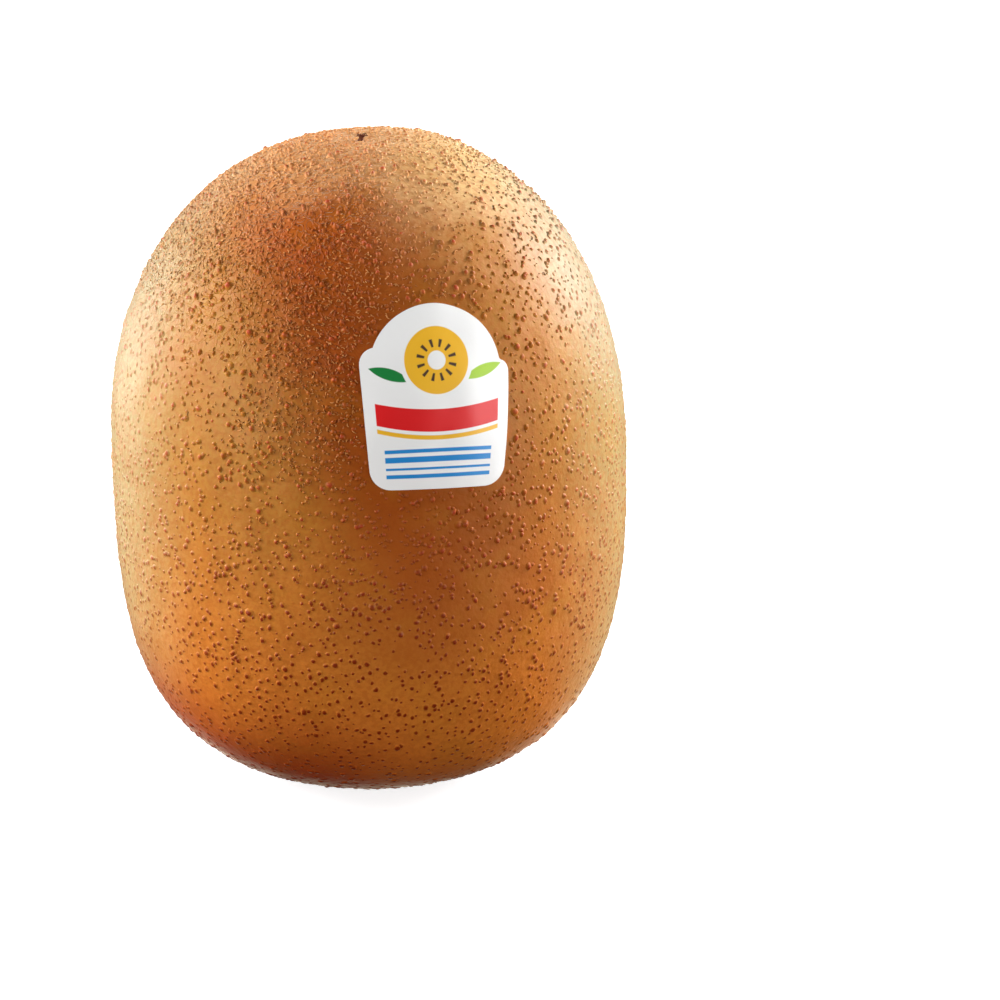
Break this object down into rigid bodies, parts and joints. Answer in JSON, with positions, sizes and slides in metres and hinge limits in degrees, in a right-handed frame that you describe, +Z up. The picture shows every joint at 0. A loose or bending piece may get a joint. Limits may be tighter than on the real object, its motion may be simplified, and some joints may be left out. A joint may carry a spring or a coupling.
{
  "type": "golden kiwi fruit",
  "caption": "Whole golden kiwi fruit standing on its stem end, its skin raised in brown specks, with dried calyx, flower remnant and a paper sticker.",
  "frame": {"origin": "on the surface it stands on, under the middle of the fruit", "axes": "+Z up from the stem end to the blossom end; -Y is the front, with the sticker; +X is to the right as seen from the front"},
  "size_m": [0.0607, 0.0582, 0.0766],
  "materials": {
    "skin": "satin",
    "calyx_wood": "matte",
    "dried_flower": "matte",
    "label_paper": "satin"
  },
  "bodies": {
    "root": {"fruit": "skin", "calyx": "calyx_wood", "dried_styles": "dried_flower", "label": "label_paper"}
  },
  "joints": []
}
